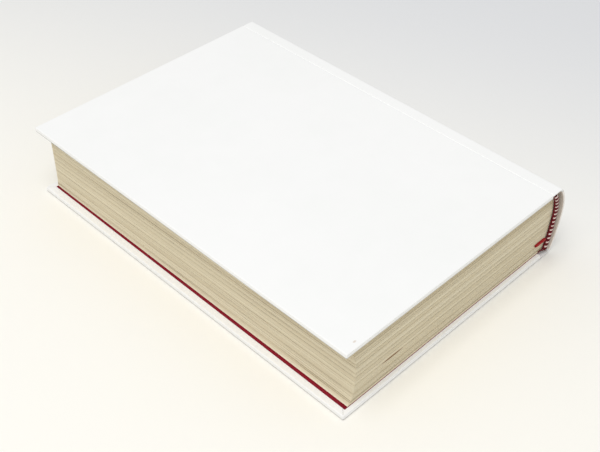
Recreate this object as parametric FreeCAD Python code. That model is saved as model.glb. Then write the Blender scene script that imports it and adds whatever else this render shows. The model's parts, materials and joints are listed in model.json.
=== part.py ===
import FreeCAD, Part
import math
import os

# Hardback book lying on its back cover, spine towards -X, head towards +Y.
# Origin: middle of the whole book's footprint, on the surface it lies on.

# Text block: sewn, trimmed, rounded and lined
page_width = 141.4          # from a shoulder of the spine to a corner of the fore-edge
page_height = 210.0
block_thickness = 35.4
rounding = 3.4              # how far the spine bulges
spine_crown_height = 26.0   # the bulge has sunk forward a little, so its crown is above the middle

# Fore-edge: hollow at the head, almost flat round its deepest point and flaring out to both corners;
# the hollow fades towards the tail, where the edge stands nearly upright
head_hollow = 4.0
tail_hollow = 0.5
fore_hollow_height = 21.0   # height of the deepest point above the table
hollow_flat_above = 8.0
hollow_flat_below = 12.0
hollow_angle_above = 33.0   # degrees from upright at the corner, at the head
hollow_angle_below = 51.0

# Papers, cards and cloths
covering_thickness = 0.3
board_thickness = 2.1
endpaper_thickness = 0.15
stiffener_thickness = 0.5
mull_thickness = 0.25
lining_thickness = 0.25

# Boards and how they stand round the block
head_square = 2.2
tail_square = 3.8
fore_square = 5.0
board_setback = 3.3         # from the shoulder of the block to the joint edge of a board
turn_in = 15.0
closing_gap = 0.05          # air between a closed cover and the block
edge_round = 0.5            # rounding of the covering where it folds over a board
mitre_slit = 0.12           # seam where two turn-ins meet at a corner
mitre_start = 0.6

# Joint between board and spine
joint_width = 7.8           # from the joint edge of a board to the ridge of the spine
hinge_offset = 3.4          # from the joint edge of a board to the line it turns on
groove_radius = 0.6
groove_sink = 0.1           # centre of the groove's round below the outer face of the board
ridge_drop = 0.3            # how far the ridge of the spine stays below the boards' outer faces
ridge_radius = 1.5
hollow_back = 5.2           # air between the lined spine of the block and the stiffener, at the crown
stiffener_lap = 1.0         # how far the stiffener reaches round each ridge

# Endpapers
pastedown_overhang = 1.5    # how far a pastedown shows beyond the fore-edge of the block
flange_width = 25.0         # mull glued to the inside of each board
flange_thickness = 0.2
mull_gap = 1.0              # between the mull and the turn-ins; past it the headbands' tape sits
lining_margin = 1.0

# Headband and tailband
bead_radius = 1.3
bead_core_radius = 1.1
bead_rise = 0.8             # centre of the bead above the edge of the pages
bead_overhang = 0.7         # centre of the bead outside the spine of the block
stitch_pitch = 2.5          # one raised stitch and the core that shows beside it
stitch_lap = 0.1            # how far the core runs on under each raised stitch
bead_end_gap = 0.3

# Ribbon marker, laid between two leaves with its fold standing up at the head
ribbon_width = 8.4
ribbon_thickness = 0.3
ribbon_height = 10.4        # level between the leaves, above the table
ribbon_length = 190.0
ribbon_fold_width = 1.4
ribbon_fold_rise = 1.0
ribbon_crest_flat = 0.14    # what stays flat on the crest of the fold, between its two rounded edges
ribbon_slot_clearance = 0.05
ribbon_bead_gap = 0.1       # between the ribbon's fold and the foot of the headband

# Tolerance for finding the edges to round
same_place = 0.01

# Positions that follow from the sizes above
board_inset = covering_thickness + board_thickness
turn_in_inset = board_inset + covering_thickness
pastedown_inset = turn_in_inset + endpaper_thickness
leaf_inset = pastedown_inset + closing_gap
block_inset = leaf_inset + endpaper_thickness
book_thickness = block_thickness + 2 * block_inset
board_width = page_width + fore_square - covering_thickness - board_setback
board_height = page_height + head_square + tail_square - 2 * covering_thickness
case_height = board_height + 2 * covering_thickness
lined_spine = rounding + mull_thickness + lining_thickness
case_spine_depth = lined_spine + hollow_back + stiffener_thickness + covering_thickness
spine_bulge = case_spine_depth + board_setback - joint_width
case_width = covering_thickness + board_width + joint_width + spine_bulge

head_y = case_height / 2
tail_y = -case_height / 2
page_head_y = head_y - head_square
page_tail_y = tail_y + tail_square
case_fore_x = case_width / 2
board_fore_x = case_fore_x - covering_thickness
board_joint_x = board_fore_x - board_width
ridge_x = board_joint_x - joint_width
hinge_x = board_joint_x - hinge_offset
page_fore_x = case_fore_x - fore_square
page_shoulder_x = page_fore_x - page_width
page_crown_x = page_shoulder_x - rounding
block_bottom_z = block_inset
block_top_z = book_thickness - block_inset
mull_head_y = head_y - covering_thickness - turn_in - mull_gap
mull_tail_y = tail_y + covering_thickness + turn_in + mull_gap

NODES = {}


def vec(x, z, y=0.0):
    return FreeCAD.Vector(x, y, z)


def box(x0, x1, y0, y1, z0, z1):
    return Part.makeBox(x1 - x0, y1 - y0, z1 - z0, FreeCAD.Vector(x0, y0, z0))


def extrude_y(edges, y0, y1):
    """Solid swept along Y from the closed outline that the edges make in the XZ plane."""
    face = Part.Face(Part.Wire(edges))
    face.translate(FreeCAD.Vector(0, y0, 0))
    return face.extrude(FreeCAD.Vector(0, y1 - y0, 0))


def mirrored(shape):
    """The same piece on the other cover: front and back are mirror images through the middle height."""
    return shape.mirror(FreeCAD.Vector(0, 0, book_thickness / 2), FreeCAD.Vector(0, 0, 1))


def keep(name, shape):
    shape = shape.removeSplitter()
    NODES[name] = shape.Solids[0] if len(shape.Solids) == 1 else shape


class Bulge:
    """A convex side made of two arcs that meet at its crown, both centred at the crown's height."""

    def __init__(self, end_x, sag, low_z, high_z, crown_z):
        self.crown_x = end_x - sag
        self.crown_z = crown_z
        self.low_radius = self.radius_for(crown_z - low_z, sag)
        self.high_radius = self.radius_for(high_z - crown_z, sag)

    @staticmethod
    def radius_for(rise, sag):
        return (rise * rise + sag * sag) / (2 * sag)

    def radius(self, z):
        return self.high_radius if z > self.crown_z else self.low_radius

    def centre_x(self, z):
        return self.crown_x + self.radius(z)

    def x_at(self, z, inset=0.0):
        """Where the side is at this height, once moved inwards by the inset."""
        radius = self.radius(z) - inset
        return self.centre_x(z) - math.sqrt(radius * radius - (z - self.crown_z) ** 2)

    def arc(self, z_from, z_to, inset=0.0):
        """One arc between two heights on the same side of the crown."""
        side = z_from + z_to - self.crown_z
        radius = self.radius(side) - inset
        centre = self.centre_x(side)
        angles = [math.asin((z - self.crown_z) / radius) for z in (z_from, z_to)]
        points = []
        for angle in (angles[0], sum(angles) / 2, angles[1]):
            points.append(vec(centre - radius * math.cos(angle), self.crown_z + radius * math.sin(angle)))
        return Part.Arc(*points).toShape()

    def arcs_down(self, z_high, z_low, inset=0.0):
        return [self.arc(z_high, self.crown_z, inset), self.arc(self.crown_z, z_low, inset)]


block_spine = Bulge(page_shoulder_x, rounding, block_bottom_z, block_top_z, spine_crown_height)
case_spine = Bulge(ridge_x, spine_bulge, ridge_drop, book_thickness - ridge_drop, spine_crown_height)
ribbon_inner_x = block_spine.x_at(ribbon_height) - bead_overhang + bead_radius + ribbon_bead_gap


def spine_prism(inset, y0, y1):
    """All that lies inside the case's spine, up to the hinge lines, once its skin is moved inwards."""
    top = book_thickness - ridge_drop - inset
    bottom = ridge_drop + inset
    top_x = case_spine.x_at(top, inset)
    bottom_x = case_spine.x_at(bottom, inset)
    edges = [Part.LineSegment(vec(hinge_x, top), vec(top_x, top)).toShape()]
    edges += case_spine.arcs_down(top, bottom, inset)
    edges.append(Part.LineSegment(vec(bottom_x, bottom), vec(hinge_x, bottom)).toShape())
    edges.append(Part.LineSegment(vec(hinge_x, bottom), vec(hinge_x, top)).toShape())
    solid = extrude_y(edges, y0, y1)
    ridges = []
    for edge in solid.Edges:
        bounds = edge.BoundBox
        along = bounds.YLength > y1 - y0 - same_place
        at_ridge = min(abs(bounds.XMin - top_x) + abs(bounds.ZMin - top),
                       abs(bounds.XMin - bottom_x) + abs(bounds.ZMin - bottom)) < same_place
        if along and at_ridge:
            ridges.append(edge)
    return solid.makeFillet(max(ridge_radius - inset, covering_thickness), ridges)


def block_band(inner, outer, y0, y1):
    """A sheet that lies on the rounded spine of the block, between two distances outside it."""
    edges = block_spine.arcs_down(block_top_z, block_bottom_z, -outer)
    edges += block_spine.arcs_down(block_top_z, block_bottom_z, -inner)
    for z in (block_top_z, block_bottom_z):
        ends = [vec(block_spine.x_at(z, -distance), z) for distance in (outer, inner)]
        edges.append(Part.LineSegment(*ends).toShape())
    return extrude_y(Part.__sortEdges__(edges), y0, y1)


def tangent_arc(start, corner, end):
    """Arc between two points, where its tangents at both meet at the corner."""
    chord_middle = start.add(end) * 0.5
    half_chord = start.sub(chord_middle).Length
    leg = corner.sub(start).Length
    crest = chord_middle.add(corner.sub(chord_middle) * (half_chord / (half_chord + leg)))
    return Part.Arc(start, crest, end).toShape()


def fore_hollow(depth, end_z, flat, slant):
    """Half of the hollow: a shallow arc from its deepest point, then one that flares to the corner."""
    start = vec(page_fore_x - depth, fore_hollow_height)
    end = vec(page_fore_x, end_z)
    side = math.copysign(1, end_z - fore_hollow_height)
    angle = math.atan(math.tan(math.radians(slant)) * depth / head_hollow)
    upright = vec(0, side)
    slanted = vec(math.sin(angle), side * math.cos(angle))
    span = end.sub(start)
    first_leg = flat / 2
    second_leg = ((span.dot(span) - 2 * first_leg * span.dot(upright))
                  / (2 * span.dot(slanted) + 2 * first_leg * (1 - upright.dot(slanted))))
    first_corner = start.add(upright * first_leg)
    second_corner = end.sub(slanted * second_leg)
    share = first_leg / (first_leg + second_leg)
    meeting = first_corner.add(second_corner.sub(first_corner) * share)
    return [tangent_arc(start, first_corner, meeting), tangent_arc(meeting, second_corner, end)]


def pages_outline(depth, y):
    """Outline of the pages at one end, with the fore-edge as hollow as it is there."""
    fore_top = vec(page_fore_x, block_top_z)
    fore_bottom = vec(page_fore_x, block_bottom_z)
    edges = [Part.LineSegment(fore_top, vec(page_shoulder_x, block_top_z)).toShape()]
    edges += block_spine.arcs_down(block_top_z, block_bottom_z)
    edges.append(Part.LineSegment(vec(page_shoulder_x, block_bottom_z), fore_bottom).toShape())
    edges += fore_hollow(depth, block_bottom_z, hollow_flat_below, hollow_angle_below)
    edges += fore_hollow(depth, block_top_z, hollow_flat_above, hollow_angle_above)
    outline = Part.Wire(Part.__sortEdges__(edges))
    outline.translate(FreeCAD.Vector(0, y, 0))
    return outline


def text_block():
    """All pages as one solid: round spine, hollow fore-edge and the slit that the ribbon lies in."""
    ends = [pages_outline(tail_hollow, page_tail_y), pages_outline(head_hollow, page_head_y)]
    pages = Part.makeLoft(ends, True, True)
    slack = ribbon_slot_clearance
    slit_tail_y = page_head_y - ribbon_length - slack
    half_slit = ribbon_thickness / 2 + slack
    slit = box(ribbon_inner_x - slack, ribbon_inner_x + ribbon_width + slack,
               slit_tail_y, page_head_y + slack,
               ribbon_height - half_slit, ribbon_height + half_slit)
    return pages.cut(slit)


def flyleaf():
    """Free endpaper on the front of the block, trimmed flush with its pages."""
    low = book_thickness - block_inset
    return box(page_shoulder_x, page_fore_x, page_tail_y, page_head_y, low, low + endpaper_thickness)


def board():
    """Front board, as cut."""
    high = book_thickness - covering_thickness
    return box(board_joint_x, board_fore_x, tail_y + covering_thickness, head_y - covering_thickness,
               high - board_thickness, high)


def mull_flange():
    """Strip of the mull that is glued to the inside of the front board, under the pastedown."""
    high = book_thickness - board_inset
    return box(hinge_x, hinge_x + flange_width, mull_tail_y, mull_head_y, high - flange_thickness, high)


def pastedown():
    """Endpaper glued to the front board: flat over the turn-ins, pressed down between them."""
    low = book_thickness - pastedown_inset
    sheet = box(hinge_x, page_fore_x + pastedown_overhang, page_tail_y, page_head_y,
                low, low + endpaper_thickness)
    pressed = box(board_joint_x, board_fore_x - turn_in, tail_y + covering_thickness + turn_in,
                  head_y - covering_thickness - turn_in, low, book_thickness - board_inset)
    return sheet.fuse(pressed).cut(mull_flange())


def joint_strip():
    """Covering from the hinge line, down into the groove and up to the face of the front board."""
    skin = covering_thickness
    groove_x = board_joint_x - skin - groove_radius
    groove_z = book_thickness - groove_sink

    def lip(inset):
        radius = groove_radius + inset
        level = book_thickness - ridge_drop - inset
        return vec(groove_x - math.sqrt(radius * radius - (groove_z - level) ** 2), level)

    def floor(inset):
        return vec(groove_x, groove_z - groove_radius - inset)

    def wall(inset):
        return vec(groove_x + groove_radius + inset, groove_z)

    edges = [
        Part.LineSegment(vec(hinge_x, lip(0).z), lip(0)).toShape(),
        Part.Arc(lip(0), floor(0), wall(0)).toShape(),
        Part.LineSegment(wall(0), vec(wall(0).x, book_thickness - skin)).toShape(),
        Part.Arc(vec(wall(0).x, book_thickness - skin),
                 vec(board_joint_x - skin * math.cos(math.pi / 4),
                     book_thickness - skin + skin * math.sin(math.pi / 4)),
                 vec(board_joint_x, book_thickness)).toShape(),
        Part.LineSegment(vec(board_joint_x, book_thickness), wall(skin)).toShape(),
        Part.Arc(wall(skin), floor(skin), lip(skin)).toShape(),
        Part.LineSegment(lip(skin), vec(hinge_x, lip(skin).z)).toShape(),
        Part.LineSegment(vec(hinge_x, lip(skin).z), vec(hinge_x, lip(0).z)).toShape(),
    ]
    strip = extrude_y(edges, tail_y, head_y)
    second_layer_x = floor(0).x
    reach = skin + turn_in
    for y0, y1 in ((tail_y, tail_y + reach), (head_y - reach, head_y)):
        folded = box(hinge_x, second_layer_x, y0, y1, lip(2 * skin).z, lip(skin).z)
        drop = box(board_joint_x - skin, board_joint_x, y0, y1, book_thickness - turn_in_inset, wall(0).z)
        strip = strip.fuse([folded, drop])
    return strip


def mitre(sign):
    """Thin seam at one fore-edge corner, where the turn-ins of the head or tail and fore-edge meet."""
    length = turn_in * math.sqrt(2) + 2 * mitre_start
    seam = box(mitre_start, length, -mitre_slit / 2, mitre_slit / 2,
               book_thickness - turn_in_inset, book_thickness - board_inset)
    seam.rotate(FreeCAD.Vector(0, 0, 0), FreeCAD.Vector(0, 0, 1), 180 + 45 * sign)
    seam.translate(FreeCAD.Vector(board_fore_x, sign * (board_height / 2), 0))
    return seam


def cover_covering():
    """Covering of the front board: outer face, three folded edges, turn-ins and half of the joint."""
    bottom = book_thickness - turn_in_inset
    slab = box(board_joint_x, case_fore_x, tail_y, head_y, bottom, book_thickness)
    folds = []
    for edge in slab.Edges:
        bounds = edge.BoundBox
        if bounds.XMax > board_joint_x + same_place:
            folds.append(edge)
    slab = slab.makeFillet(edge_round, folds)
    window = box(board_joint_x, board_fore_x - turn_in, tail_y + covering_thickness + turn_in,
                 head_y - covering_thickness - turn_in, bottom, book_thickness - board_inset)
    shell = slab.cut(board()).cut(window)
    shell = shell.cut([mitre(1), mitre(-1)])
    return shell.fuse(joint_strip())


def stiffener():
    """Card inlay that gives the case's spine its curve; it stands free of the block."""
    skin = covering_thickness
    y0 = tail_y + skin
    y1 = head_y - skin
    sheet = spine_prism(skin, y0, y1).cut(spine_prism(skin + stiffener_thickness, y0, y1))
    return sheet.common(box(ridge_x - 2 * spine_bulge, ridge_x + stiffener_lap, y0, y1, 0, book_thickness))


def spine_covering(card):
    """Covering over the stiffener and half of each joint, folded over the stiffener at head and tail."""
    skin = covering_thickness
    folded = 2 * skin + stiffener_thickness
    shell = spine_prism(0, tail_y, head_y).cut(spine_prism(folded, tail_y, head_y)).cut(card)
    past_card = box(ridge_x + stiffener_lap, hinge_x, tail_y, head_y, 0, book_thickness)
    shell = shell.cut(spine_prism(2 * skin, tail_y, head_y).common(past_card))
    single = spine_prism(skin, tail_y + skin + turn_in, head_y - skin - turn_in)
    return shell.cut(single)


def stitches(y_edge, outward, z_low, z_high):
    """Stitched bead along the spine of the block: raised stitches with the core showing between them."""
    y = y_edge + outward * bead_rise
    count = 2 * int((z_high - z_low) / stitch_pitch) + 1
    step = (z_high - z_low) / count
    pieces = []
    for index in range(count):
        ends = []
        for z in (z_low + index * step, z_low + (index + 1) * step):
            ends.append(vec(block_spine.x_at(z, -bead_overhang), z, y))
        along = ends[1].sub(ends[0])
        raised = index % 2 == 0
        length = along.Length + (0 if raised else 2 * stitch_lap)
        along.normalize()
        start = ends[0] if raised else ends[0].sub(along * stitch_lap)
        pieces.append(Part.makeCylinder(bead_radius if raised else bead_core_radius, length, start, along))
    return pieces[0].fuse(pieces[1:])


def endband(y_edge, outward, mull_end):
    """Woven band at head or tail: a stitched bead on the edge of the pages, with its tape on the spine."""
    band = stitches(y_edge, outward, block_bottom_z, block_top_z)
    far = y_edge + outward * (bead_rise + 2 * bead_radius)
    reach = 2 * bead_radius + rounding
    above = box(page_crown_x - reach, page_shoulder_x + reach, min(y_edge, far), max(y_edge, far),
                block_bottom_z + bead_end_gap, block_top_z - bead_end_gap)
    tape = block_band(0, mull_thickness, min(y_edge, mull_end), max(y_edge, mull_end))
    return band.common(above).fuse(tape)


def ribbon():
    """Marker ribbon: flat between two leaves, with its fold standing up on the head of the block."""
    tail_end = page_head_y - ribbon_length
    flat = box(ribbon_inner_x, ribbon_inner_x + ribbon_width, tail_end, page_head_y,
               ribbon_height - ribbon_thickness / 2, ribbon_height + ribbon_thickness / 2)
    half = ribbon_fold_width / 2
    fold = box(ribbon_inner_x, ribbon_inner_x + ribbon_width, page_head_y, page_head_y + ribbon_fold_rise,
               ribbon_height - half, ribbon_height + half)
    crest = []
    for edge in fold.Edges:
        bounds = edge.BoundBox
        if bounds.XLength > ribbon_width - same_place and bounds.YMin > page_head_y + ribbon_fold_rise / 2:
            crest.append(edge)
    return flat.fuse(fold.makeFillet((ribbon_fold_width - ribbon_crest_flat) / 2, crest))


def build():
    keep("text_block", text_block())
    front_leaf = flyleaf()
    keep("front_flyleaf", front_leaf)
    keep("back_flyleaf", mirrored(front_leaf))

    for name, maker in (("board", board), ("covering", cover_covering), ("pastedown", pastedown),
                        ("mull_flange", mull_flange)):
        piece = maker()
        keep("front_" + name, piece)
        keep("back_" + name, mirrored(piece))

    card = stiffener()
    keep("spine_stiffener", card)
    keep("spine_covering", spine_covering(card))

    keep("spine_mull", block_band(0, mull_thickness, mull_tail_y, mull_head_y))
    keep("spine_lining", block_band(mull_thickness, mull_thickness + lining_thickness,
                                    page_tail_y + lining_margin, page_head_y - lining_margin))
    keep("headband", endband(page_head_y, 1, mull_head_y))
    keep("tailband", endband(page_tail_y, -1, mull_tail_y))
    keep("ribbon_marker", ribbon())


build()
os.makedirs("parts", exist_ok=True)
for node, shape in NODES.items():
    shape.exportStep("parts/" + node + ".step")
    bounds = shape.BoundBox
    print("%-18s solids %d valid %s volume %.1f box (%.2f %.2f %.2f) to (%.2f %.2f %.2f)" % (
        node, len(shape.Solids), shape.isValid(), shape.Volume, bounds.XMin, bounds.YMin, bounds.ZMin,
        bounds.XMax, bounds.YMax, bounds.ZMax))
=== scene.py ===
import json
import logging
import math
import random
from dataclasses import dataclass
from enum import Enum
from typing import Callable

import bmesh
import bpy
from mathutils import Matrix, Vector, noise
from mathutils.bvhtree import BVHTree


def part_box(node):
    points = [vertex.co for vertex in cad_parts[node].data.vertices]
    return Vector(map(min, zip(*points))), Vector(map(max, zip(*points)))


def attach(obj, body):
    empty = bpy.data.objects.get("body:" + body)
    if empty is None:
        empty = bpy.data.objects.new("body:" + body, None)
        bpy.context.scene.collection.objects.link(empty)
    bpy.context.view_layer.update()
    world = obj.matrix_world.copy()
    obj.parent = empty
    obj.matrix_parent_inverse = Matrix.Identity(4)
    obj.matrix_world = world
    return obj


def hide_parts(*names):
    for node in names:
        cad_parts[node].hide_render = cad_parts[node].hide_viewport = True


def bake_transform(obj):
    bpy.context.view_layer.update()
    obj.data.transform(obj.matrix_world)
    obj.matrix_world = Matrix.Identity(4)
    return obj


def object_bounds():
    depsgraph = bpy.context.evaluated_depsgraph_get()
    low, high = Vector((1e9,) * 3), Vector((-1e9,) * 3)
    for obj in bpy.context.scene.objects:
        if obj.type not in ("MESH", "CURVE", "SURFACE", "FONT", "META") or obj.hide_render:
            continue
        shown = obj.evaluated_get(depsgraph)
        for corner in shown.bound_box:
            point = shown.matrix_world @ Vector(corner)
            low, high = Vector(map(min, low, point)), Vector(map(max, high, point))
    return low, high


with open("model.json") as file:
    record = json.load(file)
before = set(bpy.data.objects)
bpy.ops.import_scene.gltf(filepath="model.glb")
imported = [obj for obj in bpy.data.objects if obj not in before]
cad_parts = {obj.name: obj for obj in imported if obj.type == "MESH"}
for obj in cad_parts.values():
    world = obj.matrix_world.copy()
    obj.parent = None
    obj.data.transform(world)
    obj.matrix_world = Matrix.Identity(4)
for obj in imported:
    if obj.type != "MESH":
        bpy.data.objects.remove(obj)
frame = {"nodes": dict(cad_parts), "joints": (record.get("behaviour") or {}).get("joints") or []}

CAD_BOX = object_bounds()
MM = 0.001
LEVEL = 0.99999
BLOCK_BODY = "text_block"
Value = bpy.types.NodeSocket | float | tuple
log = logging.getLogger("book")


def mm(*values: float) -> Vector:
    """A point or a size given in millimetres, in metres."""
    return Vector(value * MM for value in values)


def smoothstep(value: float) -> float:
    """Eases a share from 0 to 1, flat at both ends."""
    share = min(max(value, 0.0), 1.0)
    return share * share * (3 - 2 * share)


def linear(red: int, green: int, blue: int) -> tuple[float, float, float, float]:
    """Turns a colour as a screen shows it into the shader's linear one.

    Args:
        red: Red, from 0 to 255.
        green: Green, from 0 to 255.
        blue: Blue, from 0 to 255.

    Returns:
        The linear colour, opaque.
    """
    channels = []
    for level in (red, green, blue):
        share = level / 255
        channels.append(share / 12.92 if share <= 0.04045 else ((share + 0.055) / 1.055) ** 2.4)
    return (channels[0], channels[1], channels[2], 1.0)


class Side(Enum):
    """The two covers, with the way their outer face looks."""

    FRONT = 1
    BACK = -1

    @property
    def word(self) -> str:
        """The cover's name as the CAD nodes begin with it."""
        return self.name.lower()

    @property
    def body(self) -> str:
        """The CAD body that the cover belongs to."""
        return self.word + "_cover"


class End(Enum):
    """The two ends of the spine that carry a band."""

    HEAD = 1
    TAIL = -1


@dataclass(frozen=True)
class Plan:
    """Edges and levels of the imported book, read from its nodes."""

    block_low: Vector
    block_high: Vector
    book_low: Vector
    book_high: Vector
    board_low: Vector
    board_high: Vector
    hinge_x: float

    @property
    def middle_z(self) -> float:
        """Height half way between the two covers' outer faces."""
        return (self.book_low.z + self.book_high.z) / 2

    def mirror_z(self, height: float, side: Side) -> float:
        """A height given for the front cover, on the cover that is asked for."""
        return height if side is Side.FRONT else 2 * self.middle_z - height


def read_plan() -> Plan:
    """Reads the plan of the book from the frame.

    Returns:
        The edges and levels that the pieces are built to.
    """
    block_low, block_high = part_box("text_block")
    board_low, board_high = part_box("front_board")
    hinge = next(joint for joint in frame["joints"] if joint["name"] == "front_joint")
    return Plan(block_low, block_high, CAD_BOX[0], CAD_BOX[1], board_low, board_high, hinge["pos_m"][0])


class Surface:
    """Finds where a CAD node's surface is, with rays cast onto its mesh."""

    def __init__(self, node: str) -> None:
        """Builds the search tree of a node.

        Args:
            node: Name of the CAD node.
        """
        mesh = frame["nodes"][node].data
        self.tree = BVHTree.FromPolygons(
            [vertex.co for vertex in mesh.vertices], [tuple(face.vertices) for face in mesh.polygons])

    def x_at(self, height: float, toward: int, y: float = 0.0) -> float:
        """Where the surface is at a height, met along X.

        Args:
            height: Level of the ray.
            toward: 1 for a ray that comes from -X, -1 for one from +X.
            y: Place of the ray along the book.

        Returns:
            The X of the first hit.
        """
        hit = self.tree.ray_cast(Vector((-toward, y, height)), Vector((toward, 0, 0)))[0]
        return hit.x


class NodeTree:
    """Adds nodes to a shader tree or a group and links them."""

    def __init__(self, tree: bpy.types.NodeTree) -> None:
        """Takes the tree that is filled.

        Args:
            tree: A material's tree or a node group.
        """
        self.tree = tree

    def add(self, kind: str, inputs: dict | None = None, **settings: object) -> bpy.types.Node:
        """Adds one node.

        Args:
            kind: Blender's name of the node type.
            inputs: Socket name or number, with a value or an output socket to link.
            settings: Properties of the node.

        Returns:
            The new node.
        """
        node = self.tree.nodes.new(kind)
        for name, value in settings.items():
            setattr(node, name, value)
        for key, value in (inputs or {}).items():
            socket = node.inputs[key]
            if isinstance(value, bpy.types.NodeSocket):
                self.tree.links.new(value, socket)
            else:
                socket.default_value = value
        return node

    def maths(self, operation: str, *values: Value) -> bpy.types.NodeSocket:
        """A Math node's result."""
        return self.add("ShaderNodeMath", dict(enumerate(values)), operation=operation).outputs[0]

    def mix(self, factor: Value, first: Value, second: Value, blend: str = "MIX") -> bpy.types.NodeSocket:
        """Mixes two colours.

        Args:
            factor: Share of the second colour.
            first: First colour.
            second: Second colour.
            blend: Blender's name of the way they mix.

        Returns:
            The mixed colour.
        """
        node = self.add("ShaderNodeMix", {"Factor": factor, 6: first, 7: second},
                        data_type="RGBA", blend_type=blend)
        return node.outputs[2]

    def remap(self, value: Value, from_low: float, from_high: float, to_low: float = 0.0,
              to_high: float = 1.0) -> bpy.types.NodeSocket:
        """Moves a value from one range to another, clamped and eased.

        Args:
            value: The value.
            from_low: What becomes to_low.
            from_high: What becomes to_high.
            to_low: Start of the new range.
            to_high: End of the new range.

        Returns:
            The value in its new range.
        """
        node = self.add("ShaderNodeMapRange", {
            "Value": value, "From Min": from_low, "From Max": from_high,
            "To Min": to_low, "To Max": to_high}, interpolation_type="SMOOTHSTEP")
        return node.outputs[0]

    def noise(self, position: Value, scale: Value, detail: float = 3.0,
              rough: float = 0.5) -> bpy.types.NodeSocket:
        """Value of a noise texture."""
        node = self.add("ShaderNodeTexNoise", {
            "Vector": position, "Scale": scale, "Detail": detail, "Roughness": rough})
        return node.outputs[0]

    def stretch(self, position: Value, x: float, y: float, z: float) -> bpy.types.NodeSocket:
        """A position scaled on each axis."""
        node = self.add("ShaderNodeVectorMath", {0: position, 1: (x, y, z)}, operation="MULTIPLY")
        return node.outputs[0]

    def split(self, position: Value) -> bpy.types.Node:
        """The three parts of a vector, as a node with X, Y and Z."""
        return self.add("ShaderNodeSeparateXYZ", {0: position})


def make_group(name: str, inputs: list[tuple], outputs: list[tuple],
               build: Callable[[NodeTree, bpy.types.Node, bpy.types.Node], None]) -> bpy.types.NodeTree:
    """Makes a shader node group.

    Args:
        name: Name of the group.
        inputs: Name, socket type and default of each input.
        outputs: Name and socket type of each output.
        build: Fills the group, given the tree and its input and output nodes.

    Returns:
        The group.
    """
    group = bpy.data.node_groups.new(name, "ShaderNodeTree")
    for label, kind, default in inputs:
        socket = group.interface.new_socket(label, in_out="INPUT", socket_type=kind)
        if default is not None:
            socket.default_value = default
    for label, kind in outputs:
        group.interface.new_socket(label, in_out="OUTPUT", socket_type=kind)
    tree = NodeTree(group)
    build(tree, tree.add("NodeGroupInput"), tree.add("NodeGroupOutput"))
    return group


FLOAT = "NodeSocketFloat"
VECTOR = "NodeSocketVector"
COLOR = "NodeSocketColor"


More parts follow.
